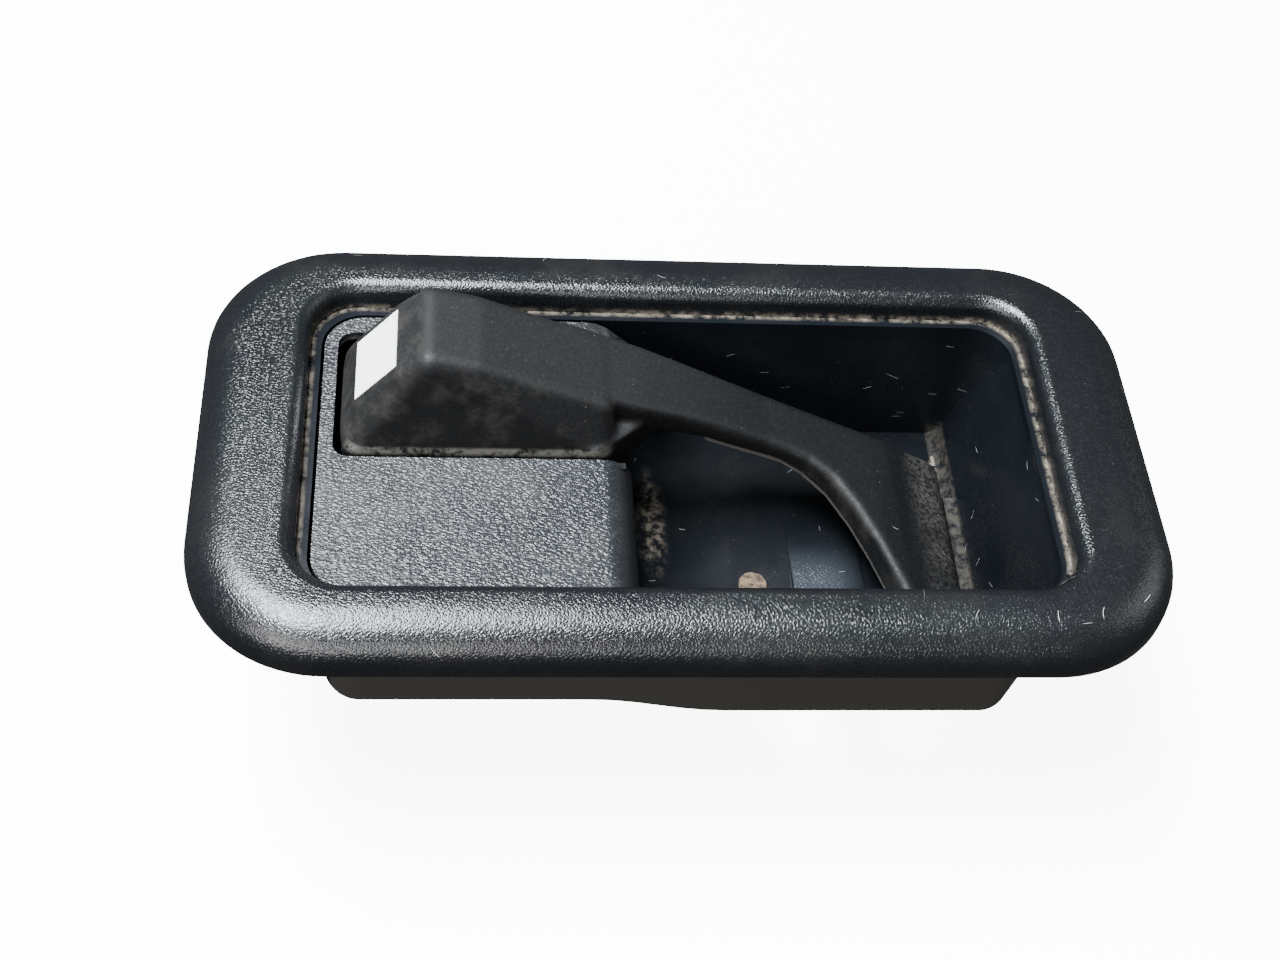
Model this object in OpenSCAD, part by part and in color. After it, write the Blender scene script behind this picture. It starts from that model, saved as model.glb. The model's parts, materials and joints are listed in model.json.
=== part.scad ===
// Interior door release handle: bezel, recessed cup, cover plate and a hinged pull lever.
// X runs along the door towards the hinge end, Y runs up the door, Z points into the cabin.
// The origin is the centre of the bezel on the face of the door trim.

/* [Bezel] */
// Length of the bezel
bezel_l = 175; // [168:1:210]
// Height of the bezel on the door
bezel_w = 94.4; // [90:0.2:114]
// How far the bezel stands off the door trim
bezel_h = 8.8; // [8:0.1:12]
// Radius of the bezel's outer corners
bezel_corner_r = 25; // [20:0.5:32]
// Thickness of the bezel's skin
bezel_wall = 2.2; // [1.6:0.1:2.6]
// Width of the rounded outer edge
roll_w = 9; // [7:0.5:11]
// Height of the rounded outer edge
roll_h = 6.8; // [5:0.1:7]
// Radius of the shoulder round the opening
shoulder_r = 2.8; // [1.5:0.1:3]

/* [Opening] */
// Length of the opening in the bezel
opening_l = 137; // [134:1:142]
// Height of the opening in the bezel
opening_w = 67; // [66:0.5:72]
// Radius of the opening's corners
opening_r = 9; // [7:0.5:12]

/* [Cup housing] */
// Height of the housing's rim above the door trim
rim_z = 3.3; // [3:0.1:4]
// Thickness of the rim flange
rim_t = 2; // [1.6:0.1:2.4]
// Width of rim that shows inside the opening
rim_lip = 2; // [1:0.1:2.5]
// How far the rim flange runs under the bezel at the ends
flange_end = 11.5; // [10:0.5:12]
// How far the rim flange runs under the bezel at the long sides
flange_side = 5; // [4:0.5:6]
// Wall thickness of the housing
wall = 2; // [1.6:0.1:2.4]
// Depth of the finger cup below the door trim
cup_depth = 31.2; // [30:0.2:36]
// Depth of the lever pocket below the door trim
pocket_depth = 27.3; // [26:0.1:29]
// How far the pocket's end wall leans in over its depth
pocket_lean = 5.5; // [3:0.5:7]
// How far the cup's end wall leans in over its depth
cup_lean = 7.5; // [5:0.5:8]
// Height of the hump on the cup floor at the near wall
hump_h = 4.5; // [2:0.5:5]

/* [Cover plate] */
// Thickness of the cover plate
plate_t = 1.8; // [1.4:0.1:2.2]
// Gap between the cover plate and the rim
plate_gap = 0.6; // [0.3:0.1:1]
// Distance from the opening's centre to the plate's turned-down end
plate_end = 9.5; // [8:0.5:11]
// Radius of the turned-down end
plate_bend_r = 6; // [4:0.5:8]
// Radius of the notch's corners
notch_r = 3; // [1:0.5:4]

/* [Lever] */
// Distance of the lever's end face from the opening's centre
block_end = 62.4; // [60:0.2:62.6]
// Width of the finger block where it enters the notch
block_w = 27.2; // [24:0.2:28]
// Width of the finger block at its ridge
block_top_w = 20.3; // [16:0.1:22]
// Height of the ridge above the door trim
ridge_z = 22.3; // [20:0.1:26]
// Radius of the finger block's rounded edges
block_edge_r = 3; // [2:0.1:3.2]
// Radius of the arm's rounded edges
arm_edge_r = 1.6; // [1.2:0.1:1.8]
// Gap between the block and the notch
notch_gap = 1.4; // [1:0.1:2]
// Thickness of the plate that closes the lever's underside
back_t = 1.2; // [0.8:0.1:1.6]
// Length of the indicator insert up the end face
marker_l = 11.8; // [8:0.1:12]
// Width of the indicator insert
marker_w = 13.6; // [8:0.1:14]

/* [Hinge] */
// Distance of the hinge pin from the opening's centre
hinge_x = 50.5; // [49:0.5:51]
// Depth of the hinge pin below the door trim
hinge_depth = 24; // [23:0.1:24.2]
// Radius of the hinge pin
pin_r = 1.75; // [1.5:0.05:2]
// Radial running clearance on the hinge pin
pin_play = 0.03; // [0.02:0.01:0.08]
// Wall thickness of the bushes
bush_wall = 1.1; // [0.8:0.1:1.3]
// Outer radius of the hinge hub
hub_r = 3.9; // [3.7:0.1:4.2]
// Radius of the lever's cap over the hub
cap_r = 5.5; // [5.2:0.1:5.8]
// Pull travel of the lever in degrees
pull_angle = 25; // [15:1:25]
// Push travel of the lever, to the lock position, in degrees
lock_angle = 5; // [2:0.5:5]

/* [Crank and rod] */
// Depth of the rod hole below the housing
rod_below = 18.4; // [16.4:0.4:22.4]
// Thickness of the crank
crank_t = 2.5; // [2:0.1:3]
// Width of the crank
crank_w = 7.6; // [6.4:0.2:7.8]
// Lean of the crank at rest in degrees
crank_lean = 10; // [6:1:14]
// Radius of the latch rod's bent end
rod_r = 2; // [1.5:0.1:2.2]
// Radial running clearance on the rod and its clip
rod_play = 0.05; // [0.02:0.01:0.1]

/* [Fixings] */
// Radius of the hole for the fixing screw
fixing_r = 2.2; // [1.8:0.1:2.6]
// Radius of the small screws' threads
screw_r = 1.2; // [1:0.05:1.4]
// Radial clearance of small parts in their holes
hole_play = 0.05; // [0.02:0.01:0.1]

/* [Hidden] */
$fn = 64;
eps = 0.01;
over = 1;

// Rim and cup
cup_l = opening_l - 2 * rim_lip;
cup_near = -(opening_w / 2 - 0.5);
cup_far = opening_w / 2 - rim_lip;
cup_w = cup_far - cup_near;
cup_mid = (cup_far + cup_near) / 2;
cup_r = opening_r - 1;
flange_l = opening_l + 2 * flange_end;
flange_w = opening_w + 2 * flange_side;
flange_r = opening_r + flange_side;
flange_z = rim_z - rim_t;
cup_floor = wall - cup_depth;
pocket_floor = wall - pocket_depth;
step_x = [-12, 5];
step_run = step_x[1] - step_x[0];
step_a = atan2(cup_depth - pocket_depth, step_run);
step_r = min(40, 0.45 * step_run / cos(step_a) / tan(step_a / 2));

// Bezel screws stand in bosses under the bezel's wide ends
boss_x = opening_l / 2 + flange_end / 2 + 1.75;
boss_y = 22;
boss_r = 3.2;
screw_head_r = 2.8;

// Hinge line, and the stations along it from the near wall to the far wall
hinge_z = -hinge_depth;
hub_near = -20.2;
hub_far = 12.4;
cap_far = 17;
washer_t = 0.5;
face_gap = 0.1;
ear_r = 3.3;
ear_t = 3.3;
ear_foot = 2.3;
near_ear = cup_near + 2.4;
far_ear = hub_far + washer_t + 2 * face_gap;
pin_end = cap_far + 2;
bush_r = pin_r + pin_play + bush_wall;
bush_l = 7;
coil_wire_r = 0.55;
coil_r = 3.4;
coil_turns = 4.25;
coil_y = hub_near - washer_t - 2 * face_gap - coil_wire_r;
coil_pitch = (coil_y - near_ear - ear_t - face_gap - coil_wire_r) / coil_turns;

// Cover plate and the notch for the block
plate_left = -cup_l / 2 + plate_gap;
plate_near = cup_near + plate_gap;
plate_far = cup_far - plate_gap;
block_mid = 12;
block_near = block_mid - block_w / 2;
block_far = block_mid + block_w / 2;
notch_left = -block_end - 1;
notch_near = block_near - notch_gap;
notch_far = block_far + notch_gap;
post_r = 2.8;
post_x = [-54, -20];
post_y = -26;

// Block: the end face rises from the notch, slopes up past the indicator and rounds into the ridge
slope_a = 51.2;
slope_x = 3;
slope_z = 8.7;
slope_run = marker_l * cos(slope_a);
slope_rise = marker_l * sin(slope_a);
block_base_z = -6;
top_mid = 12.55;

// Arm: top heights along the lever, thicknesses, then plan positions of its near and far edges
top_line = [[-46, ridge_z], [-38, ridge_z - 2], [-15.7, 10.6], [-7.5, 7], [4.6, 0.8], [17, -5],
            [29.4, -9], [41.8, -13], [47, -16.4]];
arm_t = [[-22, 5.5], [0, 4.4], [10, 3.6], [22, 3.6], [31.5, 5.6], [44, 6.6]];
near_edge = [[-22, 5], [-7.5, 5.9], [0, 7.5], [7, 8.4], [17.6, 8.7], [22, 8.2], [26.5, 7],
             [31.5, 3.7], [35.7, -2.6], [39.2, -9.8], [43.6, hub_near]];
far_edge = [[-22, 22.5], [-7.5, 22.5], [0, 22.5], [7, 22.3], [17.6, 21.6], [22, 20.8], [27, 19.9],
            [33, 18.8], [38.5, 17.9], [42.5, 17.4], [46.5, cap_far]];

// Crank, its stop and the rod hole
crank_mid = -17.5;
drop = cup_depth - hinge_depth;
crank_len = (drop + rod_below) / cos(crank_lean);
rod_x = hinge_x - crank_len * sin(crank_lean);
rod_z = hinge_z - crank_len * cos(crank_lean);
clip_r = rod_r + rod_play + 0.9;
floor_slot = [hinge_x - drop * tan(crank_lean + pull_angle) - crank_w / 2 / cos(crank_lean + pull_angle) - 1,
              hinge_x + drop * tan(max(0, lock_angle - crank_lean)) + crank_w / 2 + 1.5];
stop_r = 2.5;
peg_r = 1.2;
stop_along = drop + 10.8;
stop_off = crank_w / 2 + stop_r + face_gap;
stop_angle = crank_lean + pull_angle;
stop_x = hinge_x - stop_along * sin(stop_angle) - stop_off * cos(stop_angle);
stop_z = hinge_z - stop_along * cos(stop_angle) + stop_off * sin(stop_angle);
foot_z = [-22, -20.2];
foot_x = 39.5;
foot_y = [-9, 12.5];
foot_screw_x = 43;
foot_screw_y = [-5, 8.5];
lever_head_r = 2.5;

// Buffer under the block, and the detent leaf beside the crank
lock_x = -45;
lock_r = 5;
lock_stem_r = 1.5;
lock_top = block_base_z - (hinge_x - lock_x + lock_r) * sin(lock_angle) - 0.6;
detent_x = 50;
detent_y = crank_mid + 10;
detent_face = crank_mid + crank_t / 2 + 1.35;
leaf_t = 0.6;
leaf_half = 3;
leaf_l = 13;
rivet_head_h = 1.1;

// Fixing slot in the cup floor and the spring clip in it
slot_x = [13.2, 24.6];
slot_y = [-27.5, -10.9];
clip_t = 0.8;
clip_w = 5.4;
clip_x = slot_x[0] + 0.8 + clip_w / 2;
clip_hole_y = -19;

// Raised part of the cup floor, and the tongue that hooks behind the door panel
hump_x = [slot_x[1], 38.5];
hump_y = 8;
ledge_h = 3;
tongue_l = 3;
tongue_y = [-4, 12];
tongue_z = [-21, -19];
collar_r = 4;
collar_h = 1;

// ---------- shared shapes ----------

// A rectangle of length l and height w with corner radius r, centred on the origin
module rounded_rect(l, w, r) {
    square([l - 2 * r, w], center = true);
    square([l, w - 2 * r], center = true);
    for (x = [-1, 1], y = [-1, 1])
        translate([x * (l / 2 - r), y * (w / 2 - r)])
            circle(r);
}

module slab(l, w, r, z0, z1) {
    translate([0, 0, z0])
        linear_extrude(z1 - z0)
            rounded_rect(l, w, r);
}

function unit(v) = v / norm(v);

// Points that round corner b, of radius b[2], between its neighbours a and c
function corner_arc(a, b, c) =
    let (
        p = [b[0], b[1]],
        u = unit([a[0], a[1]] - p),
        v = unit([c[0], c[1]] - p),
        half = acos(u * v) / 2,
        turn = 180 - 2 * half,
        side = u[0] * v[1] - u[1] * v[0] > 0 ? -1 : 1,
        m = p + unit(u + v) * b[2] / sin(half),
        first = p + u * b[2] / tan(half) - m,
        start = atan2(first[1], first[0]),
        n = max(1, ceil(turn / 9))
    )
    [for (i = [0:n]) m + b[2] * [cos(start + side * turn * i / n), sin(start + side * turn * i / n)]];

// Outline through points [x, y, radius], each corner rounded by its radius
function rounded_path(pts) =
    let (n = len(pts))
    [for (i = [0:n - 1])
        each pts[i][2] > 0
            ? corner_arc(pts[(i + n - 1) % n], pts[i], pts[(i + 1) % n])
            : [[pts[i][0], pts[i][1]]]];

// A side view outline in X and Z, extruded along Y from y0 to y1
module side_prism(pts, y0, y1) {
    translate([0, y1, 0])
        rotate([90, 0, 0])
            linear_extrude(y1 - y0)
                polygon(rounded_path(pts));
}

// A cylinder along Y at x, z from y0 to y1
module rod_y(x, z, r, y0, y1) {
    translate([x, y1, z])
        rotate([90, 0, 0])
            cylinder(r = r, h = y1 - y0);
}

module box(x, y, z) {
    translate([x[0], y[0], z[0]])
        cube([x[1] - x[0], y[1] - y[0], z[1] - z[0]]);
}

// Sweeps a profile round a rounded rectangle: x runs out from the corner centres, y runs up
module sweep_rect(l, w, r) {
    a = l / 2 - r;
    b = w / 2 - r;
    for (i = [0:3])
        translate([(i == 0 || i == 3 ? 1 : -1) * a, (i < 2 ? 1 : -1) * b, 0])
            rotate([0, 0, 90 * i])
                rotate_extrude(angle = 90)
                    children();
    for (s = [0, 1]) {
        mirror([0, s, 0])
            translate([-a, b, 0])
                rotate([90, 0, 90])
                    linear_extrude(2 * a)
                        children();
        mirror([s, 0, 0])
            translate([a, b, 0])
                rotate([90, 0, 0])
                    linear_extrude(2 * b)
                        children();
    }
}

// A low pad with a rounded upper edge
module pad(l, w, r, h, edge_w, edge_h) {
    n = 10;
    sweep_rect(l, w, r)
        polygon(concat(
            [[0, 0], [r, 0]],
            [for (i = [0:n]) [r - edge_w + edge_w * cos(90 * i / n), h - edge_h + edge_h * sin(90 * i / n)]],
            [[0, h]]
        ));
    box([r - l / 2, l / 2 - r], [r - w / 2, w / 2 - r], [0, h]);
}

// A round bar along a path that stays near one X-Z plane
module bar(path, r, sides) {
    n = len(path);
    rings = [for (i = [0:n - 1])
        let (
            t = unit(path[min(i + 1, n - 1)] - path[max(i - 1, 0)]),
            u = unit(cross([0, 1, 0], t)),
            v = cross(t, u)
        )
        for (k = [0:sides - 1]) path[i] + r * (u * cos(360 * k / sides) + v * sin(360 * k / sides))];
    walls = [for (i = [0:n - 2], k = [0:sides - 1])
        let (a = i * sides, b = a + sides, m = (k + 1) % sides)
        each [[a + k, b + k, b + m], [a + k, b + m, a + m]]];
    ends = [[for (k = [0:sides - 1]) k], [for (k = [sides - 1:-1:0]) (n - 1) * sides + k]];
    polyhedron(concat(rings), concat(walls, ends));
}

// A small pan-head screw that points up: its head's top face is at z
module screw(x, y, z, head_r, head_h, shank_r, shank_l) {
    translate([x, y, z - head_h])
        cylinder(r = head_r, h = head_h);
    translate([x, y, z - eps])
        cylinder(r = shank_r, h = shank_l + eps);
}

module drive_slot(x, y, z, r, depth) {
    translate([x, y, z + depth / 2])
        for (a = [0, 90])
            rotate([0, 0, a])
                cube([2 * r, 0.7, depth + eps], center = true);
}

// ---------- bezel ----------

module bezel() {
    color([0.11, 0.12, 0.13]) {
        difference() {
            pad(bezel_l, bezel_w, bezel_corner_r, bezel_h, roll_w, roll_h);
            bezel_hollow();
            slab(flange_l + 1, flange_w + 1, flange_r + 0.5, -over, rim_z);
            slab(opening_l, opening_w, opening_r, -over, bezel_h + over);
            sweep_rect(opening_l, opening_w, opening_r)
                shoulder_profile();
        }
        for (x = [-1, 1], y = [-1, 1])
            translate([x * boss_x, y * boss_y, 0])
                bezel_boss();
    }
}

module bezel_hollow() {
    difference() {
        translate([0, 0, -over])
            pad(bezel_l - 2 * bezel_wall, bezel_w - 2 * bezel_wall, bezel_corner_r - bezel_wall,
                bezel_h - bezel_wall + over, roll_w - bezel_wall, roll_h - bezel_wall);
        slab(opening_l + 2 * bezel_wall, opening_w + 2 * bezel_wall, opening_r + bezel_wall,
             -2 * over, bezel_h + over);
    }
}

module shoulder_profile() {
    n = 6;
    out = opening_r + shoulder_r;
    low = bezel_h - shoulder_r;
    polygon(concat(
        [[opening_r - over, bezel_h + over], [opening_r - over, low]],
        [for (i = [0:n]) [out - shoulder_r * cos(90 * i / n), low + shoulder_r * sin(90 * i / n)]],
        [[out, bezel_h + over]]
    ));
}

module bezel_boss() {
    difference() {
        translate([0, 0, rim_z])
            cylinder(r = boss_r, h = bezel_h - bezel_wall / 2 - rim_z);
        translate([0, 0, rim_z - over])
            cylinder(r = screw_r + hole_play, h = 3.4 + over);
    }
}

module bezel_screws() {
    color([0.55, 0.55, 0.52])
        for (x = [-1, 1], y = [-1, 1])
            difference() {
                screw(x * boss_x, y * boss_y, flange_z, screw_head_r, flange_z, screw_r, rim_t + 3.2);
                drive_slot(x * boss_x, y * boss_y, 0, 1.8, 0.6);
            }
}

module seal_ring() {
    color([0.2, 0.2, 0.21])
        difference() {
            slab(flange_l - 2, flange_w - 1, flange_r - 0.5, 0, flange_z);
            slab(opening_l + 1.4, opening_w + 4, opening_r + 1, -over, flange_z + over);
            for (x = [-1, 1], y = [-1, 1])
                translate([x * boss_x, y * boss_y, -over])
                    cylinder(r = screw_head_r + 0.5, h = 2 * over + flange_z);
        }
}

// ---------- cup housing ----------

// Side outline of the housing: inset moves the end walls and floors in by the wall's thickness
function cup_side(inset, top) =
    let (
        end = opening_l / 2 - inset,
        low = -pocket_depth + inset,
        deep = -cup_depth + inset
    )
    [
        [-end, top, 0],
        [-end + pocket_lean, low, 6 - inset],
        [step_x[0], low, step_r],
        [step_x[1], deep, step_r],
        [end - cup_lean, deep, 4 - inset / 2],
        [end, top, 0]
    ];

module cup_outside() {
    intersection() {
        side_prism(cup_side(0, flange_z + eps), cup_near - wall, cup_far + wall);
        translate([0, cup_mid, 0])
            slab(opening_l, cup_w + 2 * wall, cup_r + wall, -cup_depth - over, flange_z + over);
    }
}

module cup_inside() {
    intersection() {
        union() {
            side_prism(cup_side(wall, flange_z), cup_near, cup_far);
            box([-cup_l / 2, cup_l / 2], [cup_near, cup_far], [flange_z - eps, rim_z + over]);
        }
        translate([0, cup_mid, 0])
            slab(cup_l, cup_w, cup_r, -cup_depth, rim_z + over);
    }
}

// Lug that carries one end of the hinge pin
module hinge_ear(y0) {
    rod_y(hinge_x, hinge_z, ear_r, y0, y0 + ear_t);
    box([hinge_x - ear_foot, hinge_x + ear_foot], [y0, y0 + ear_t], [cup_floor - wall / 2, hinge_z]);
}

module housing() {
    color([0.07, 0.07, 0.08])
        difference() {
            union() {
                difference() {
                    union() {
                        slab(flange_l, flange_w, flange_r, flange_z, rim_z);
                        cup_outside();
                    }
                    cup_inside();
                }
                hinge_ear(near_ear);
                hinge_ear(far_ear);
                floor_hump();
                end_ledge();
                underside();
            }
            housing_holes();
        }
}

// The cup floor rises towards the near wall
module floor_hump() {
    translate([hump_x[0], 0, 0])
        rotate([90, 0, 90])
            linear_extrude(hump_x[1] - hump_x[0])
                polygon([
                    [cup_near - wall / 2, cup_floor - wall / 2],
                    [hump_y, cup_floor - wall / 2],
                    [hump_y, cup_floor],
                    [cup_near - wall / 2, cup_floor + hump_h]
                ]);
}

// Ledge at the foot of the end wall, beside the lever's cap
module end_ledge() {
    box([hinge_x + cap_r + 1.3, opening_l / 2 - cup_lean], [cup_near - wall / 2, 12],
        [cup_floor - wall / 2, cup_floor + ledge_h]);
}

// Lug and peg for the pull stop, screw collars and the tongue that hooks behind the door panel
module underside() {
    box([stop_x - 2.8, stop_x + 2.8], [crank_mid - 7, crank_mid - 4.5], [stop_z - 3, -cup_depth + wall / 2]);
    rod_y(stop_x, stop_z, peg_r, crank_mid - 4.6, crank_mid + 1.4);
    for (x = post_x)
        translate([x, post_y, -pocket_depth - collar_h])
            cylinder(r = collar_r, h = collar_h + wall / 2);
    box([-opening_l / 2 - tongue_l, pocket_lean - opening_l / 2], tongue_y, tongue_z);
}

module housing_holes() {
    rod_y(hinge_x, hinge_z, pin_r + hole_play, near_ear - over, near_ear + ear_t + over);
    rod_y(hinge_x, hinge_z, pin_r + hole_play, far_ear - over, far_ear + ear_t + over);
    for (x = [-1, 1], y = [-1, 1])
        translate([x * boss_x, y * boss_y, flange_z - over])
            cylinder(r = screw_r + 0.3, h = rim_t + 2 * over);
    for (x = post_x)
        translate([x, post_y, -pocket_depth - collar_h - over])
            cylinder(r = screw_r + 0.3, h = wall + collar_h + 2 * over);
    box(slot_x, slot_y, [-cup_depth - over, cup_floor + over]);
    box(floor_slot, [coil_y - 1.2, crank_mid + 3], [-cup_depth - over, cup_floor + over]);
    translate([detent_x, detent_y, -cup_depth - over])
        cylinder(r = screw_r + hole_play, h = wall + 2 * over);
    translate([lock_x, block_mid, -pocket_depth - over])
        cylinder(r = lock_stem_r + hole_play, h = wall + 2 * over);
}

// ---------- cover plate ----------

module cover_plate() {
    out_x = -plate_end;
    foot = out_x + 3.2;
    low = pocket_floor + 0.1;
    color([0.18, 0.19, 0.2])
        difference() {
            union() {
                intersection() {
                    side_prism([
                        [plate_left, rim_z, 0],
                        [plate_left, rim_z - plate_t, 0],
                        [out_x - plate_t, rim_z - plate_t, plate_bend_r - plate_t],
                        [foot - plate_t, low, 0],
                        [foot, low, 0],
                        [out_x, rim_z, plate_bend_r]
                    ], plate_near, notch_far);
                    plate_plan();
                }
                far_strip();
                notch_wall();
                for (x = post_x)
                    translate([x, post_y, pocket_floor])
                        cylinder(r = post_r, h = rim_z - plate_t / 2 - pocket_floor);
            }
            notch();
            for (x = post_x)
                translate([x, post_y, pocket_floor - over])
                    cylinder(r = screw_r + hole_play, h = 8 + over);
        }
}

module plate_plan() {
    translate([0, cup_mid, 0])
        slab(cup_l - 2 * plate_gap, cup_w - 2 * plate_gap, cup_r - plate_gap, -cup_depth, rim_z + over);
}

// The narrow strip behind the block slopes down into the cup
module far_strip() {
    intersection() {
        side_prism([
            [plate_left, rim_z, 0],
            [plate_left, rim_z - plate_t, 0],
            [-15, rim_z - plate_t, 6],
            [-2.5, -11, 0],
            [-0.5, -9.5, 0],
            [-14, rim_z, 8]
        ], notch_far - eps, plate_far);
        plate_plan();
    }
}

// Wall and dusty ledge along the near side of the notch
module notch_wall() {
    box([-block_end + 4, -plate_end - 1], [notch_near - 1.3, notch_near], [-14, rim_z - plate_t / 2]);
}

module notch() {
    translate([0, 0, -cup_depth])
        linear_extrude(cup_depth + rim_z + over)
            polygon(rounded_path([
                [notch_left, notch_near, notch_r],
                [10, notch_near, 0],
                [10, notch_far, 0],
                [notch_left, notch_far, notch_r]
            ]));
}

module plate_screws() {
    color([0.55, 0.55, 0.52])
        for (x = post_x)
            difference() {
                screw(x, post_y, -pocket_depth - collar_h, screw_head_r, 1.8, screw_r, wall + collar_h + 7);
                drive_slot(x, post_y, -pocket_depth - collar_h - 1.8, 1.8, 0.8);
            }
}

// ---------- lever ----------

function top_z(x) = lookup(x, top_line);

function under_z(x) = top_z(x) - lookup(x, arm_t);

// One rounded edge point of the arm: a ball on a short post with a flat foot
module edge_point(p, side) {
    translate([p[0], p[1] + side * arm_edge_r, 0]) {
        translate([0, 0, top_z(p[0]) - arm_edge_r])
            sphere(r = arm_edge_r, $fn = 24);
        translate([0, 0, under_z(p[0])])
            cylinder(r = arm_edge_r, h = lookup(p[0], arm_t) - arm_edge_r, $fn = 24);
    }
}

module block() {
    r = block_edge_r;
    x0 = -block_end + r;
    face = [
        [x0, 1.5],
        [-block_end + slope_x + r * sin(slope_a), slope_z - r * cos(slope_a)],
        [-block_end + slope_x + slope_run + r * sin(slope_a), slope_z + slope_rise - r * cos(slope_a)],
        [-45.9, ridge_z - r],
        [-38.2, top_z(-38) - r],
        [-15.7, top_z(-15.7) - r]
    ];
    hull() {
        for (p = face, s = [-1, 1])
            translate([p[0], top_mid + s * (block_top_w / 2 - r), p[1]])
                sphere(r = r, $fn = 24);
        for (x = [x0 + 0.4, -12 - r], s = [-1, 1])
            translate([x, block_mid + s * (block_w / 2 - r), -1])
                cylinder(r = r, h = 3, $fn = 24);
        for (x = [x0 + 3, -12 - r], s = [-1, 1])
            translate([x, block_mid + s * (block_w / 2 - r), block_base_z])
                cylinder(r = r, h = 1, $fn = 24);
    }
}

module arm() {
    for (i = [0:len(near_edge) - 2])
        hull()
            for (k = [i, i + 1]) {
                edge_point(near_edge[k], 1);
                edge_point(far_edge[k], -1);
            }
}

// The end of the arm rolls over the hinge hub
module cap() {
    last = len(near_edge) - 1;
    hull() {
        edge_point(near_edge[last], 1);
        edge_point(far_edge[last], -1);
        rod_y(hinge_x, hinge_z, cap_r, hub_near, cap_far - 1.5, $fn = 48);
        rod_y(hinge_x, hinge_z, cap_r - 1, hub_near, cap_far, $fn = 48);
    }
}

// Space under the cap for the hub, the far ear, the hub's foot and the crank
module hub_space() {
    rod_y(hinge_x, hinge_z, hub_r + hole_play, hub_near - over, cap_far + over, $fn = 48);
    box([hinge_x - cap_r - 8, hinge_x + cap_r + over], [hub_near - over, cap_far + over],
        [hinge_z - cap_r - over, hinge_z - 1.5]);
    box([foot_x - 0.3, hinge_x], [foot_y[0] - 0.3, foot_y[1] + 0.3], [hinge_z - 2, foot_z[1] + 0.02]);
    box([hinge_x - crank_w / 2 - 1, hinge_x + crank_w / 2 + 0.3], [crank_mid - 2, crank_mid + 2],
        [hinge_z - cap_r - over, hinge_z + 0.3]);
}

// Web that carries the block's near wall over into the arm
module neck() {
    hull() {
        translate([-16, block_near + block_edge_r, block_base_z + 1])
            cylinder(r = block_edge_r, h = 9, $fn = 24);
        translate([-7, 9.4, block_base_z + 3])
            cylinder(r = block_edge_r, h = under_z(-7) - block_base_z - 2, $fn = 24);
        translate([-16, 16, block_base_z + 1])
            cylinder(r = block_edge_r, h = 9, $fn = 24);
    }
}

module lever_shape() {
    block();
    neck();
    arm();
    cap();
}

module lever() {
    color([0.15, 0.15, 0.155])
        difference() {
            lever_shape();
            hub_space();
            marker_plate(0.75, 0.1, 0.1);
            for (y = foot_screw_y)
                translate([foot_screw_x, y, foot_z[1] - over])
                    cylinder(r = screw_r + hole_play, h = 4.5 + over, $fn = 24);
        }
}

// Plate that closes the underside of the arm
module lever_back() {
    inner = arm_edge_r - 0.4;
    color([0.2, 0.19, 0.18])
        difference() {
            for (i = [3:len(near_edge) - 2])
                hull()
                    for (k = [i, i + 1]) {
                        back_point(near_edge[k], 1, inner);
                        back_point(far_edge[k], -1, inner);
                    }
            lever_shape();
            hub_space();
            for (y = foot_screw_y)
                translate([foot_screw_x, y, -cup_depth])
                    cylinder(r = screw_r + 0.2, h = cup_depth, $fn = 24);
        }
}

module back_point(p, side, r) {
    translate([p[0], p[1] + side * arm_edge_r, under_z(p[0]) - back_t])
        cylinder(r = r, h = back_t + 0.5, $fn = 24);
}

// Indicator insert in the sloping end face; grow widens it and depth sinks it
module marker_plate(depth, grow, lift) {
    translate([-block_end + slope_x + slope_run / 2, top_mid, slope_z + slope_rise / 2])
        rotate([0, -slope_a, 0])
            translate([-(marker_l + grow) / 2, -(marker_w + grow) / 2, -depth])
                cube([marker_l + grow, marker_w + grow, depth + lift]);
}

module marker() {
    color([0.93, 0.93, 0.9])
        marker_plate(0.7, 0, 0.12);
}

// ---------- hinge and crank ----------

module pivot_arm() {
    color([0.5, 0.5, 0.48])
        difference() {
            union() {
                rod_y(hinge_x, hinge_z, hub_r, hub_near, hub_far);
                crank();
                box([foot_x, hinge_x], foot_y, foot_z);
            }
            rod_y(hinge_x, hinge_z, bush_r, hub_near - over, hub_far + over);
            rod_y(rod_x, rod_z, clip_r + rod_play, crank_mid - crank_t, crank_mid + crank_t);
            for (y = foot_screw_y)
                translate([foot_screw_x, y, foot_z[0] - over])
                    cylinder(r = screw_r + 0.2, h = 4);
        }
}

// Flat arm that hangs from the hub through the floor slot to the rod hole
module crank() {
    translate([hinge_x, crank_mid + crank_t / 2, hinge_z])
        rotate([90, 0, 0])
            linear_extrude(crank_t)
                rotate([0, 0, -90 - crank_lean]) {
                    translate([0, -crank_w / 2])
                        square([crank_len, crank_w]);
                    translate([crank_len, 0])
                        circle(clip_r + 2.6);
                }
}

module bush(y0) {
    color([0.85, 0.84, 0.78])
        difference() {
            rod_y(hinge_x, hinge_z, bush_r, y0, y0 + bush_l);
            rod_y(hinge_x, hinge_z, pin_r + pin_play, y0 - over, y0 + bush_l + over);
        }
}

module bush_near() {
    bush(hub_near);
}

module bush_far() {
    bush(hub_far - bush_l);
}

module lever_screws() {
    color([0.6, 0.58, 0.5])
        for (y = foot_screw_y)
            difference() {
                screw(foot_screw_x, y, foot_z[0], lever_head_r, 1.5, screw_r, foot_z[1] - foot_z[0] + 4.2);
                drive_slot(foot_screw_x, y, foot_z[0] - 1.5, 1.7, 0.7);
            }
}

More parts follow.
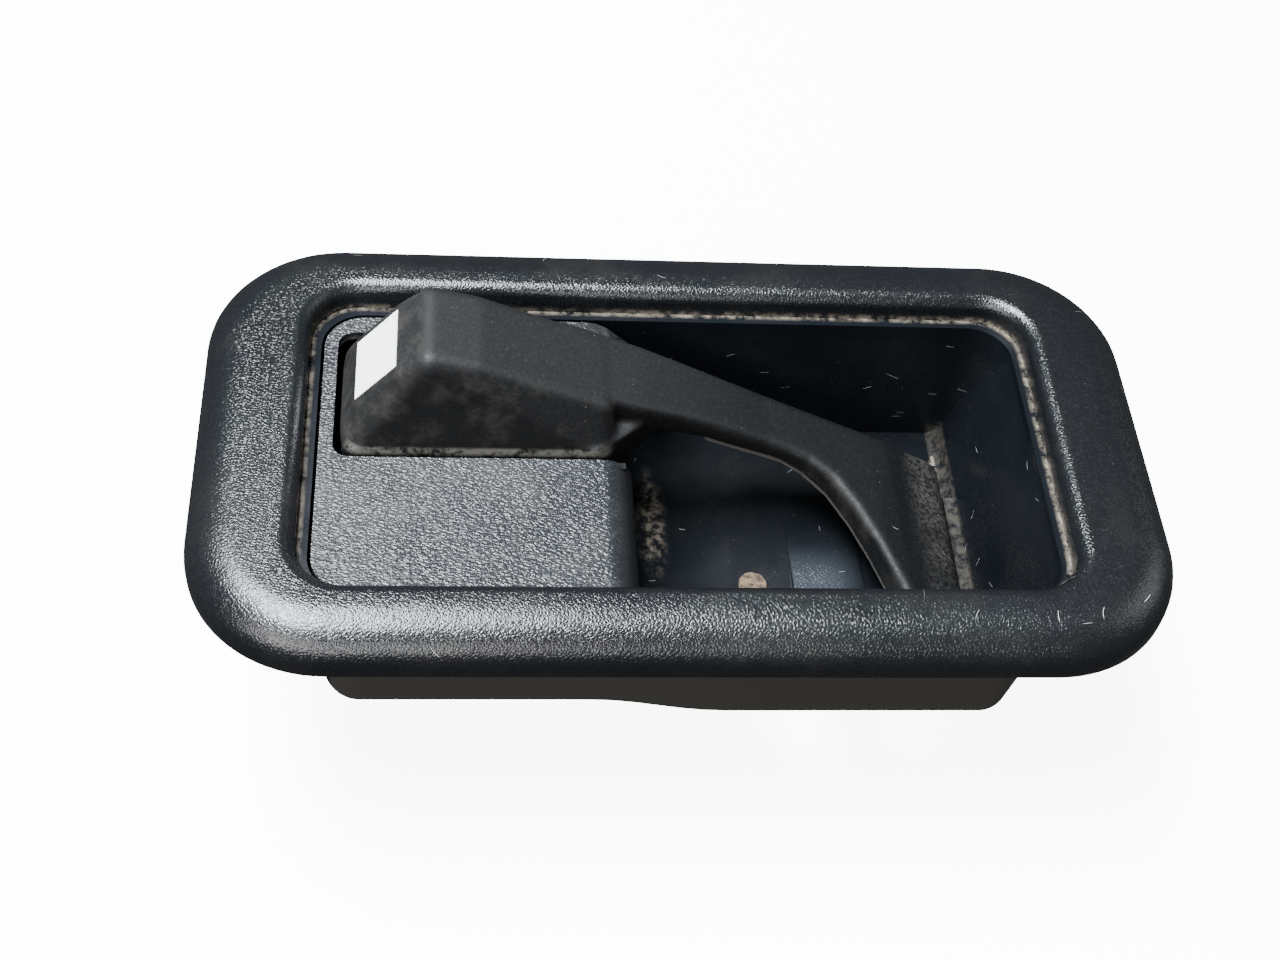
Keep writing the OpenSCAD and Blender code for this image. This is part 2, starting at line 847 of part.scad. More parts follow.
module hinge_pin() {
    color([0.72, 0.62, 0.4])
        difference() {
            union() {
                rod_y(hinge_x, hinge_z, pin_r, near_ear - 0.1, pin_end);
                rod_y(hinge_x, hinge_z, pin_r + 1.15, near_ear - 1.2, near_ear - 0.05);
            }
            difference() {
                rod_y(hinge_x, hinge_z, pin_r + over, pin_end - 1.7, pin_end - 0.9);
                rod_y(hinge_x, hinge_z, pin_r - 0.35, pin_end - 2, pin_end);
            }
        }
}

// Push-on clip in the pin's groove, with a bent tab to pull it off by
module pin_clip() {
    tab_x = hinge_x + ear_r + 2;
    color([0.6, 0.55, 0.4])
        difference() {
            union() {
                rod_y(hinge_x, hinge_z, pin_r + 1.5, pin_end - 1.65, pin_end - 0.95);
                box([hinge_x, tab_x], [pin_end - 1.65, pin_end - 0.95], [hinge_z - 1.4, hinge_z + 1.4]);
                box([tab_x - 0.7, tab_x], [pin_end - 1.65, pin_end + 0.8], [hinge_z - 1.4, hinge_z + 1.4]);
            }
            rod_y(hinge_x, hinge_z, pin_r - 0.3, pin_end - 2, pin_end);
            box([hinge_x - 1.2, hinge_x + 1.2], [pin_end - 2, pin_end], [hinge_z, hinge_z + 5]);
        }
}

module thrust_washers() {
    color([0.85, 0.84, 0.78])
        for (y = [hub_near - face_gap - washer_t, hub_far + face_gap])
            difference() {
                rod_y(hinge_x, hinge_z, hub_r, y, y + washer_t);
                rod_y(hinge_x, hinge_z, pin_r + hole_play, y - over, y + washer_t + over);
            }
}

// A point beside the crank's edge: along runs from the hinge to the rod hole
function beside_crank(along, y) =
    let (out = crank_w / 2 + coil_wire_r + face_gap)
    [hinge_x - along * sin(crank_lean) - out * cos(crank_lean), y,
     hinge_z - along * cos(crank_lean) + out * sin(crank_lean)];

// Torsion spring: one leg hooks over the crank's edge, the other stands on the cup floor
module return_spring() {
    steps = 16;
    n = coil_turns * steps;
    floor_leg = cup_floor + coil_wire_r + face_gap;
    coil = [for (i = [0:n])
        [hinge_x - coil_r * cos(360 * i / steps),
         coil_y - coil_pitch * i / steps,
         hinge_z + coil_r * sin(360 * i / steps)]];
    crank_leg = [beside_crank(12.8, crank_mid + crank_t / 2), beside_crank(12.2, crank_mid - crank_t),
                 beside_crank(11, coil_y), [hinge_x - coil_r - 0.2, coil_y, hinge_z - 2.5]];
    last = coil[n];
    rest_leg = [[last[0] + 3, last[1], last[2]], [last[0] + 4.4, last[1], last[2] - 1.2],
                [last[0] + 4.8, last[1], floor_leg]];
    color([0.75, 0.62, 0.3])
        bar(concat(crank_leg, coil, rest_leg), coil_wire_r, 8);
}

// ---------- stops, detent and clips ----------

module pull_stop() {
    color([0.1, 0.1, 0.1])
        difference() {
            rod_y(stop_x, stop_z, stop_r, crank_mid - 4.4, crank_mid + 1.3);
            rod_y(stop_x, stop_z, peg_r + hole_play, crank_mid - 5, crank_mid + 2);
        }
}

module lock_stop() {
    color([0.1, 0.1, 0.1]) {
        translate([lock_x, block_mid, pocket_floor])
            cylinder(r = lock_r, h = lock_top - pocket_floor);
        translate([lock_x, block_mid, -pocket_depth - 1])
            cylinder(r = lock_stem_r, h = wall + 1 + eps);
        translate([lock_x, block_mid, -pocket_depth - 1.6])
            cylinder(r = lock_stem_r + 0.9, h = 1.5);
    }
}

// Leaf that presses on the side of the crank and holds it in the rest and lock positions
module detent_spring() {
    top = -cup_depth;
    color([0.5, 0.5, 0.52])
        difference() {
            union() {
                box([detent_x - leaf_half, detent_x + leaf_half], [detent_face, detent_y + 3.4],
                    [top - leaf_t, top]);
                box([detent_x - leaf_half, detent_x + leaf_half], [detent_face, detent_face + leaf_t],
                    [top - leaf_l, top - leaf_t / 2]);
                translate([detent_x - leaf_half, detent_face, top - leaf_l + 3.5])
                    rotate([0, 90, 0])
                        cylinder(r = 1, h = 2 * leaf_half);
            }
            translate([detent_x, detent_y, top - over])
                cylinder(r = screw_r + hole_play, h = 2 * over);
        }
}

module detent_rivet() {
    color([0.6, 0.6, 0.6]) {
        translate([detent_x, detent_y, -cup_depth - leaf_t - rivet_head_h])
            cylinder(r = screw_r + 1, h = rivet_head_h);
        translate([detent_x, detent_y, -cup_depth - 1])
            cylinder(r = screw_r, h = wall + 1.1);
        translate([detent_x, detent_y, cup_floor])
            cylinder(r = screw_r + 0.8, h = 0.6);
    }
}

// Spring clip over the edge of the fixing slot: two leaves joined by a bend, both drilled for the screw
module fixing_clip() {
    low = -cup_depth - clip_t;
    bend_y = slot_y[1] + 5.6;
    color([0.72, 0.58, 0.36])
        difference() {
            union() {
                box([clip_x - clip_w / 2, clip_x + clip_w / 2], [slot_y[0], bend_y - clip_w / 2],
                    [cup_floor, cup_floor + clip_t]);
                translate([clip_x, bend_y - clip_w / 2, cup_floor])
                    cylinder(r = clip_w / 2, h = clip_t);
                box([clip_x - clip_w / 2, clip_x + clip_w / 2], [slot_y[0] + 0.1, slot_y[1] + 3],
                    [low, -cup_depth]);
                box([clip_x - clip_w / 2, clip_x + clip_w / 2], [slot_y[0] + 0.1, slot_y[0] + 0.9],
                    [low, cup_floor + clip_t]);
            }
            translate([clip_x, clip_hole_y, low - over])
                cylinder(r = fixing_r, h = wall + 2 * clip_t + 2 * over);
        }
}

// Clip that snaps into the crank and takes the latch rod's bent end and its shank
module rod_clip() {
    near = crank_mid - crank_t / 2 - face_gap;
    far = crank_mid + crank_t / 2 + face_gap;
    arm_y = far + 1.1;
    arm_end = arm_y + 2 * rod_r + 0.8;
    color([0.25, 0.45, 0.3])
        difference() {
            union() {
                rod_y(rod_x, rod_z, clip_r, near - 0.8, far + 1);
                rod_y(rod_x, rod_z, clip_r + 0.45, near - 0.8, near);
                rod_y(rod_x, rod_z, clip_r + 1.6, far, arm_y);
                box([rod_x - 13, rod_x], [arm_y, arm_end], [rod_z - rod_r - 1, rod_z + rod_r + 1]);
            }
            rod_y(rod_x, rod_z, rod_r + rod_play, near - 2, arm_end + over);
            translate([rod_x - 14, arm_y + rod_r + 0.6, rod_z])
                rotate([0, 90, 0])
                    cylinder(r = rod_r + rod_play, h = 15);
            box([rod_x - 14, rod_x + over], [arm_y + 1, arm_end + over], [rod_z, rod_z + rod_r + 2]);
        }
}

// ---------- nodes ----------

bezel();
housing();
cover_plate();
seal_ring();
bezel_screws();
plate_screws();
hinge_pin();
pin_clip();
thrust_washers();
return_spring();
fixing_clip();
pull_stop();
lock_stop();
detent_spring();
detent_rivet();
lever();
lever_back();
lever_screws();
marker();
pivot_arm();
bush_near();
bush_far();
rod_clip();
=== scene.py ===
import json
import math

import bmesh
import bpy
from mathutils import Matrix, Vector


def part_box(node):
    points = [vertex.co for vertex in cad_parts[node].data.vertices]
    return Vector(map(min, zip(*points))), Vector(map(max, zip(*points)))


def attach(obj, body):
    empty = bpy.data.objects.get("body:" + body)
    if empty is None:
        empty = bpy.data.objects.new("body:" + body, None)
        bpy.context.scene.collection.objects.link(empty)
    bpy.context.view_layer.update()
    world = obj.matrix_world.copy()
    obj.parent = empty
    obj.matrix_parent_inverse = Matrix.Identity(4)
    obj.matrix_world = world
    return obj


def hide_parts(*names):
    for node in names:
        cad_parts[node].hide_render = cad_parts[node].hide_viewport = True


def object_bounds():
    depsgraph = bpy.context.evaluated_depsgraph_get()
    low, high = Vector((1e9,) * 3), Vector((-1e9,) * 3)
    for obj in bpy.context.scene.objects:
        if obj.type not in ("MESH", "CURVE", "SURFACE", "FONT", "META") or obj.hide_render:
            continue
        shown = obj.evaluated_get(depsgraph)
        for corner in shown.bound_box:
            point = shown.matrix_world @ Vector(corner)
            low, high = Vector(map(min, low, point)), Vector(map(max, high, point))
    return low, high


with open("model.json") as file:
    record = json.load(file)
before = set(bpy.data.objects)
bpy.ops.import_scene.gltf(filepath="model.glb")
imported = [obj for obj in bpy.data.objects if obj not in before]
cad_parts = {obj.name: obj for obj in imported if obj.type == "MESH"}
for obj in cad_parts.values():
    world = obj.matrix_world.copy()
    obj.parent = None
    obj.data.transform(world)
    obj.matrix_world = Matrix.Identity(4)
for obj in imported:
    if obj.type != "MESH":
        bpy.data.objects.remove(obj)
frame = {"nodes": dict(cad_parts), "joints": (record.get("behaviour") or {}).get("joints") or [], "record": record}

MM = 0.001

cad_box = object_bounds()
nodes = frame["nodes"]
lever_joint = next(j for j in frame["joints"] if j["name"] == "lever_pull")
hinge = Vector(lever_joint["pos_m"]) / MM


# ---------- sizes read from the frame, in mm ----------

def box_mm(node):
    low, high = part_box(node)
    return low / MM, high / MM


plate_low, plate_high = box_mm("cover_plate")
marker_low, marker_high = box_mm("marker")
seal_bottom = box_mm("seal_ring")[0].z
rim_z = box_mm("housing")[1].z

# the fixing clip's upper leaf lies on the floor of the cup
clip_t = 0.8
cup_floor = box_mm("fixing_clip")[1].z - clip_t

# the bezel's opening: the plate's end stands back from it by the rim and a gap
rim_and_gap = 2.6
open_half = Vector((rim_and_gap - plate_low.x, 33.5))
open_r = 9


# ---------- node helpers ----------
# Textures are placed in mm in the frame at rest. A noise or cell scale is a count per mm, colours are
# linear, and a bump's distance is in mm.

class Tree:
    """A short way to write shader nodes: every call returns an output socket."""

    def __init__(self, name):
        self.material = bpy.data.materials.new(name)
        self.material.use_nodes = True
        self.nodes = self.material.node_tree.nodes
        self.links = self.material.node_tree.links
        self.shader = self.nodes["Principled BSDF"]
        texture = self.nodes.new("ShaderNodeTexCoord")
        scale = self.nodes.new("ShaderNodeVectorMath")
        scale.operation = "SCALE"
        scale.inputs["Scale"].default_value = 1 / MM
        self.links.new(texture.outputs["Object"], scale.inputs[0])
        self.place = scale.outputs[0]
        normal = self.nodes.new("ShaderNodeNewGeometry")
        self.normal = normal.outputs["True Normal"]

    def set(self, socket, value):
        if isinstance(value, bpy.types.NodeSocket):
            self.links.new(value, socket)
        elif isinstance(value, (tuple, list)) and len(value) == 3 and socket.type == "RGBA":
            socket.default_value = (*value, 1)
        else:
            socket.default_value = value

    def math(self, op, a, b=0.0, c=None, clamp=False):
        node = self.nodes.new("ShaderNodeMath")
        node.operation = op
        node.use_clamp = clamp
        self.set(node.inputs[0], a)
        self.set(node.inputs[1], b)
        if c is not None:
            self.set(node.inputs[2], c)
        return node.outputs[0]

    def vector(self, op, a, b=(0, 0, 0)):
        node = self.nodes.new("ShaderNodeVectorMath")
        node.operation = op
        self.set(node.inputs[0], a)
        self.set(node.inputs[1], b)
        return node.outputs["Value"] if op in ("LENGTH", "DOT_PRODUCT") else node.outputs[0]

    def split(self, v):
        node = self.nodes.new("ShaderNodeSeparateXYZ")
        self.set(node.inputs[0], v)
        return node.outputs

    def join(self, x, y, z=0.0):
        node = self.nodes.new("ShaderNodeCombineXYZ")
        for socket, value in zip(node.inputs, (x, y, z)):
            self.set(socket, value)
        return node.outputs[0]

    def ramp(self, value, low, high, out_low=0.0, out_high=1.0):
        """A smooth step from out_low at low to out_high at high; low may be the larger of the two."""
        node = self.nodes.new("ShaderNodeMapRange")
        node.interpolation_type = "SMOOTHSTEP"
        self.set(node.inputs["Value"], value)
        for name, v in (("From Min", low), ("From Max", high), ("To Min", out_low), ("To Max", out_high)):
            self.set(node.inputs[name], v)
        return node.outputs[0]

    def invert(self, value):
        return self.math("SUBTRACT", 1.0, value)

    def noise(self, v, scale, detail=3.0, rough=0.55, color=False):
        node = self.nodes.new("ShaderNodeTexNoise")
        self.set(node.inputs["Vector"], v)
        self.set(node.inputs["Scale"], scale)
        self.set(node.inputs["Detail"], detail)
        self.set(node.inputs["Roughness"], rough)
        return node.outputs["Color" if color else "Fac"]

    def cells(self, v, scale, feature="F1", dims="3D"):
        node = self.nodes.new("ShaderNodeTexVoronoi")
        node.feature = feature
        node.voronoi_dimensions = dims
        self.set(node.inputs["Vector"], v)
        self.set(node.inputs["Scale"], scale)
        return node.outputs

    def mix(self, factor, a, b):
        node = self.nodes.new("ShaderNodeMix")
        node.data_type = "RGBA"
        self.set(node.inputs["Factor"], factor)
        self.set(node.inputs["A"], a)
        self.set(node.inputs["B"], b)
        return node.outputs["Result"]

    def multiply(self, *values):
        out = values[0]
        for v in values[1:]:
            out = self.math("MULTIPLY", out, v)
        return out

    def add(self, *values):
        out = values[0]
        for v in values[1:]:
            out = self.math("ADD", out, v)
        return out

    def most(self, *values):
        out = values[0]
        for v in values[1:]:
            out = self.math("MAXIMUM", out, v)
        return out

    def rect(self, center, half, r):
        """Distance from the outline of a rounded rectangle in X and Y, negative inside."""
        p = self.vector("SUBTRACT", self.place, (center[0], center[1], 0))
        q = self.vector("SUBTRACT", self.vector("ABSOLUTE", p), (half[0] - r, half[1] - r, 0))
        x, y, _ = self.split(q)
        out = self.vector("LENGTH", self.join(self.math("MAXIMUM", x, 0), self.math("MAXIMUM", y, 0)))
        inside = self.math("MINIMUM", self.math("MAXIMUM", x, y), 0)
        return self.math("SUBTRACT", self.add(out, inside), r)

    def blob(self, center, size, soft=1.0):
        """1 near a point, fading to 0 at size mm in each direction."""
        p = self.vector("SUBTRACT", self.place, center)
        d = self.vector("LENGTH", self.vector("DIVIDE", p, size))
        return self.ramp(d, 1.0 - soft, 1.0, 1.0, 0.0)

    def specks(self, scale, size, share, seed=0.0):
        """Scattered dust grains: size is a grain's radius, share is how many cells hold one."""
        out = self.cells(self.vector("ADD", self.place, (seed, seed * 1.7, seed * 0.6)), scale)
        keep = self.math("LESS_THAN", self.split(out["Color"])[0], share)
        return self.multiply(self.ramp(out["Distance"], size * scale * 0.5, size * scale, 1.0, 0.0), keep)

    def scratches(self, flat, scale, length, width, share, turn=3.14, seed=0.0):
        """Short, slightly curved marks in a plane: flat holds the plane's two coordinates."""
        moved = self.vector("ADD", flat, (seed, seed * 2.3, 0))
        out = self.cells(moved, scale, dims="2D")
        r, g, b = self.split(out["Color"])
        local = self.vector("SUBTRACT", moved, out["Position"])
        spin = self.nodes.new("ShaderNodeVectorRotate")
        spin.rotation_type = "Z_AXIS"
        self.set(spin.inputs["Vector"], local)
        self.set(spin.inputs["Angle"], self.math("MULTIPLY", self.math("SUBTRACT", r, 0.5), turn))
        x, y, _ = self.split(spin.outputs[0])
        bow = self.multiply(self.math("SUBTRACT", g, 0.5), 0.5 / length, self.math("MULTIPLY", x, x))
        across = self.math("ABSOLUTE", self.add(y, bow))
        along = self.math("ABSOLUTE", x)
        line = self.multiply(self.ramp(across, width * 0.4, width, 1.0, 0.0),
                             self.ramp(along, length * 0.5, length, 1.0, 0.0))
        return self.multiply(line, self.math("LESS_THAN", b, share))

    def bump(self, height, distance, strength=1.0, normal=None):
        node = self.nodes.new("ShaderNodeBump")
        self.set(node.inputs["Height"], height)
        node.inputs["Distance"].default_value = distance * MM
        node.inputs["Strength"].default_value = strength
        if normal is not None:
            self.links.new(normal, node.inputs["Normal"])
        return node.outputs[0]

    def finish(self, color, rough, normal=None, metal=None, **constants):
        self.set(self.shader.inputs["Base Color"], color)
        self.set(self.shader.inputs["Roughness"], rough)
        if normal is not None:
            self.links.new(normal, self.shader.inputs["Normal"])
        if metal is not None:
            self.set(self.shader.inputs["Metallic"], metal)
        for name, value in constants.items():
            self.shader.inputs[name.replace("_", " ")].default_value = value
        return self.material


DUST = (0.17, 0.145, 0.112)
PALE_DUST = (0.22, 0.205, 0.18)


def leather(t, size, stretch, warp=0.35):
    """Height of a moulded leather grain, with cells of about size mm that are stretched along X and Y."""
    shake = t.vector("SUBTRACT", t.noise(t.place, 0.6 / size, 2.0, color=True), (0.5, 0.5, 0.5))
    wander = t.vector("SCALE", shake)
    wander.node.inputs["Scale"].default_value = warp * size * 2
    p = t.vector("MULTIPLY", t.vector("ADD", t.place, wander), stretch)
    edge = t.cells(p, 1 / size, "DISTANCE_TO_EDGE")["Distance"]
    pebble = t.ramp(edge, 0.0, 0.32)
    fine = t.noise(t.place, 3.2 / size, 3.0, 0.6)
    return t.add(t.multiply(pebble, 0.75), t.multiply(fine, 0.35))


# ---------- materials ----------

def bezel_material():
    t = Tree("bezel_plastic")
    x, y, z = t.split(t.place)
    grain = leather(t, 0.62, (1.0, 1.15, 1.0))
    edge = t.rect((0, 0), open_half, open_r)
    tone = t.noise(t.place, 0.035, 3.0)
    color = t.mix(tone, (0.0028, 0.0032, 0.0038), (0.0048, 0.0054, 0.0063))
    crown = t.ramp(grain, 0.62, 1.0)
    color = t.mix(t.multiply(crown, 0.25), color, (0.016, 0.018, 0.021))
    # dust lies in the joint with the rim and in patches on the faces
    low = t.ramp(z, rim_z, rim_z + 1.6, 1.0, 0.0)
    joint = t.multiply(t.ramp(edge, -0.5, 1.4, 1.0, 0.0), low,
                       t.ramp(t.noise(t.place, 0.5, 3.0), 0.38, 0.66), 0.8)
    film = t.multiply(t.ramp(t.noise(t.place, 0.06, 4.0, 0.65), 0.45, 0.75), 0.02)
    grit = t.multiply(t.specks(0.55, 0.09, 0.3), t.ramp(t.noise(t.place, 0.1, 2.0), 0.4, 0.7), 0.6)
    # most of the short scratches are at the near right corner
    corner = t.multiply(t.ramp(x, 30.0, 70.0), t.ramp(y, -20.0, -36.0))
    marks = t.add(t.multiply(t.scratches(t.join(x, y), 0.13, 1.3, 0.05, 0.16), corner),
                  t.multiply(t.scratches(t.join(x, y), 0.07, 1.1, 0.05, 0.2, seed=40.0), 0.4))
    dust = t.math("ADD", t.most(joint, t.multiply(grit, 0.5)), film, clamp=True)
    color = t.mix(dust, color, DUST)
    color = t.mix(t.math("MINIMUM", marks, 1.0), color, (0.5, 0.5, 0.5))
    rough = t.add(t.ramp(t.noise(t.place, 0.05, 3.0), 0.3, 0.7, 0.21, 0.26), t.multiply(dust, 0.1))
    normal = t.bump(grain, 0.04)
    return t.finish(color, rough, normal, Specular_IOR_Level=0.5)


def housing_material():
    t = Tree("housing_plastic")
    x, y, z = t.split(t.place)
    nx, ny, nz = t.split(t.vector("ABSOLUTE", t.normal))
    color = t.mix(t.noise(t.place, 0.05, 3.0), (0.0022, 0.003, 0.0042), (0.0038, 0.005, 0.0066))
    up = t.ramp(nz, 0.6, 0.8)
    side = t.ramp(ny, 0.6, 0.8)
    end = t.ramp(nx, 0.6, 0.8)
    lint = t.add(
        t.multiply(side, t.scratches(t.join(x, z), 0.17, 1.1, 0.06, 0.2, 1.3)),
        t.multiply(side, t.scratches(t.join(x, z), 0.09, 2.0, 0.055, 0.15, 1.0, 31.0)),
        t.multiply(up, t.scratches(t.join(x, y), 0.16, 0.8, 0.055, 0.1, 3.1, 12.0)),
        t.multiply(end, t.scratches(t.join(y, z), 0.2, 1.1, 0.06, 0.14, 3.1, 7.0)))
    grit = t.add(t.multiply(t.specks(0.8, 0.11, 0.28), 0.7), t.multiply(t.specks(0.28, 0.2, 0.2, 9.0), 0.8))
    patches = t.noise(t.place, 0.55, 5.0, 0.75)
    inner = t.ramp(z, rim_z - 2.5, rim_z - 4.0)
    # settled dust: a thin film, at the foot of the step, and on the ledge under the lever's cap
    step = t.multiply(t.blob((-2.5, 6.0, -27.0), (4.0, 16.0, 6.0), 0.7), t.ramp(patches, 0.44, 0.62))
    film = t.multiply(t.ramp(t.noise(t.place, 0.07, 4.0, 0.7), 0.38, 0.7),
                      t.ramp(t.noise(t.place, 2.0, 4.0, 0.7), 0.45, 0.7), 0.05, inner)
    ledge = t.multiply(t.ramp(x, hinge.x + 6.4, hinge.x + 6.8), t.ramp(x, hinge.x + 11.0, hinge.x + 10.0),
                       t.ramp(z, cup_floor + 4.2, cup_floor + 3.2), t.ramp(patches, 0.36, 0.62), 0.16)
    # the hump carries a grain, and is painted a lighter grey as a painted highlight of the light it reflects
    floor = t.multiply(up, t.ramp(z, cup_floor + 6.0, cup_floor + 5.0))
    hump = t.multiply(t.ramp(x, 24.4, 24.9), t.ramp(x, 30.0, 40.0, 1.0, 0.0), t.ramp(y, 3.0, -9.0), floor)
    # the rim holds a line of dust against the bezel
    edge = t.rect((0, 0), open_half, open_r)
    joint = t.multiply(t.ramp(edge, -1.25, -0.15), t.ramp(z, rim_z - 0.4, rim_z - 0.1),
                       t.ramp(t.noise(t.place, 0.45, 4.0, 0.7), 0.36, 0.68), 0.85)
    dust = t.math("ADD", t.most(joint, t.multiply(step, 0.55), t.multiply(grit, inner, 0.6), ledge), film,
                  clamp=True)
    # the outside is painted a paler black than the cup, as painted light from below
    outside = t.most(t.ramp(y, -33.6, -34.0), t.ramp(z, cup_floor - 1.2, cup_floor - 1.6))
    below_rim = t.invert(t.ramp(z, seal_bottom - 0.5, seal_bottom))
    color = t.mix(t.multiply(outside, below_rim), color, (0.034, 0.032, 0.0285))
    color = t.mix(t.multiply(dust, t.invert(outside)), color, DUST)
    lint = t.multiply(lint, t.invert(outside), inner, t.ramp(edge, -0.2, -0.6))
    color = t.mix(t.math("MINIMUM", lint, 1.0), color, (0.22, 0.23, 0.24))
    # painted highlight: the hump is a lighter grey
    color = t.mix(t.multiply(hump, 0.8), color, (0.024, 0.028, 0.034))
    rough = t.add(t.ramp(t.noise(t.place, 0.09, 4.0), 0.3, 0.75, 0.24, 0.34), t.multiply(dust, 0.5),
                  t.multiply(floor, 0.05), t.multiply(outside, 0.3))
    fine = t.bump(t.noise(t.place, 1.6, 3.0, 0.6), 0.02)
    normal = t.bump(t.multiply(leather(t, 0.7, (1.0, 1.2, 1.0)), hump), 0.09, 1.0, fine)
    return t.finish(color, rough, normal, Specular_IOR_Level=0.22)


def plate_material():
    t = Tree("plate_plastic")
    x, y, z = t.split(t.place)
    grain = leather(t, 0.78, (0.72, 1.25, 1.0), 0.6)
    color = t.mix(t.noise(t.place, 0.05, 3.0), (0.006, 0.0068, 0.008), (0.0105, 0.0118, 0.0138))
    crown = t.ramp(grain, 0.6, 1.0)
    color = t.mix(t.multiply(crown, 0.4), color, (0.034, 0.038, 0.043))
    bend = t.ramp(x, plate_high.x - 14.5, plate_high.x - 9.5)
    strip = t.multiply(t.ramp(y, 26.0, 27.5), t.ramp(x, -16.0, -8.0))
    worn = t.multiply(t.ramp(t.noise(t.place, 0.35, 4.0, 0.7), 0.42, 0.62), strip)
    deep = t.multiply(t.ramp(z, rim_z - 0.7, rim_z - 1.8), t.invert(bend))
    dust = t.math("ADD", t.multiply(deep, t.ramp(t.noise(t.place, 0.4, 4.0), 0.35, 0.6), 0.55),
                  t.multiply(t.ramp(t.noise(t.place, 0.07, 4.0, 0.65), 0.42, 0.72), 0.12), clamp=True)
    dust = t.most(dust, t.multiply(worn, 0.8), t.multiply(t.specks(0.45, 0.13, 0.35), 0.5))
    color = t.mix(t.multiply(dust, 0.55), color, PALE_DUST)
    marks = t.multiply(t.scratches(t.join(x, y), 0.11, 0.7, 0.05, 0.15, 3.1, 5.0), 0.5)
    color = t.mix(marks, color, (0.5, 0.5, 0.5))
    rough = t.add(t.ramp(t.noise(t.place, 0.1, 3.0), 0.3, 0.7, 0.26, 0.32), t.multiply(dust, 0.25),
                  t.multiply(bend, 0.1))
    # the turned-down end is painted darker as shade, and is almost smooth
    color = t.mix(t.multiply(bend, 0.9), color, (0.003, 0.0032, 0.0035))
    flat = t.invert(t.multiply(bend, 0.85))
    normal = t.bump(t.multiply(grain, flat), 0.085)
    return t.finish(color, rough, normal, Specular_IOR_Level=0.5)


def lever_material():
    t = Tree("lever_plastic")
    x, y, z = t.split(t.place)
    nx, ny, nz = t.split(t.normal)
    color = t.mix(t.noise(t.place, 0.06, 4.0, 0.6), (0.0048, 0.0048, 0.005), (0.0076, 0.0076, 0.0078))
    # painted shade: the arm is darker towards the hinge, where it sinks into the cup
    arm_shade = t.ramp(x, -14.0, 26.0)
    color = t.mix(t.multiply(arm_shade, 0.9), color, (0.0008, 0.001, 0.0014))
    fine = t.noise(t.place, 1.3, 5.0, 0.75)
    mottle = t.multiply(t.ramp(fine, 0.5, 0.8, 0.0, 0.35), t.invert(t.multiply(arm_shade, 0.8)))
    color = t.mix(mottle, color, (0.024, 0.024, 0.0235))
    # the wall towards the fingers is painted blacker as shade, with brown dust low down
    near = t.ramp(ny, -0.25, -0.75)
    color = t.mix(t.multiply(near, 0.95), color, (0.0006, 0.0007, 0.0009))
    low = t.ramp(z, rim_z + 2.5, rim_z - 0.5)
    brown = t.multiply(near, t.ramp(t.noise(t.place, 0.16, 5.0, 0.7), 0.46, 0.72), t.ramp(x, -16.0, -24.0))
    seam = t.multiply(near, t.ramp(z, rim_z + 0.9, rim_z + 0.1), t.ramp(z, rim_z - 1.8, rim_z - 0.6),
                      t.ramp(x, -12.0, -16.0), t.ramp(t.noise(t.place, 0.45, 4.0, 0.7), 0.35, 0.55))
    face = t.multiply(t.ramp(nx, -0.25, -0.6), t.ramp(t.noise(t.place, 0.2, 4.0, 0.7), 0.4, 0.7))
    grit = t.add(t.multiply(t.specks(0.42, 0.12, 0.4), 0.8), t.multiply(t.specks(0.9, 0.09, 0.3, 5.0), 0.5))
    # dust on the roll-over to the hinge, partly a painted highlight along it
    roll = t.multiply(t.ramp(x, hinge.x - 4.5, hinge.x + 1.0), t.ramp(y, -22.0, 12.0, 0.5, 1.0),
                      t.ramp(t.noise(t.place, 0.25, 3.0, 0.6), 0.3, 0.6, 0.4, 1.0), t.ramp(fine, 0.38, 0.62))
    dust = t.most(t.multiply(brown, 0.045), t.multiply(seam, 0.28), t.multiply(face, 0.05),
                  t.multiply(grit, 0.45), t.multiply(roll, 0.13))
    color = t.mix(dust, color, PALE_DUST)
    marks = t.add(t.scratches(t.join(x, y), 0.1, 0.8, 0.05, 0.15, 3.1, 3.0),
                  t.multiply(t.scratches(t.join(x, y), 0.06, 2.0, 0.05, 0.2, 1.5, 77.0), 0.3))
    color = t.mix(t.math("MINIMUM", t.multiply(marks, 0.6), 1.0), color, (0.4, 0.4, 0.39))
    rough = t.add(t.ramp(fine, 0.3, 0.7, 0.5, 0.64), t.multiply(dust, 0.3), t.multiply(low, 0.02))
    normal = t.bump(t.noise(t.place, 2.6, 4.0, 0.65), 0.045)
    return t.finish(color, rough, normal, Specular_IOR_Level=0.22)


def marker_material():
    t = Tree("marker_white")
    x, y, z = t.split(t.place)
    grime = t.ramp(t.noise(t.place, 0.22, 5.0, 0.7), 0.45, 0.8, 0.0, 0.35)
    middle = (marker_low + marker_high) / 2
    half = (marker_high - marker_low) / 2
    # grime in patches, and darker and rougher towards the long edges and the ends
    rim = t.ramp(t.math("ABSOLUTE", t.math("SUBTRACT", y, middle.y)), half.y - 0.9, half.y)
    ends = t.ramp(t.math("ABSOLUTE", t.math("SUBTRACT", z, middle.z)), half.z - 1.0, half.z)
    grime_and_dark_edges = t.math("ADD", t.multiply(grime, 0.5), t.multiply(t.most(rim, ends), 0.18), clamp=True)
    color = t.mix(grime_and_dark_edges, (0.86, 0.86, 0.84), (0.42, 0.40, 0.35))
    color = t.mix(t.multiply(t.specks(0.5, 0.16, 0.3), 0.5), color, (0.25, 0.23, 0.2))
    normal = t.bump(t.noise(t.place, 0.9, 3.0), 0.03)
    return t.finish(color, t.add(0.45, t.multiply(grime_and_dark_edges, 0.4)), normal)


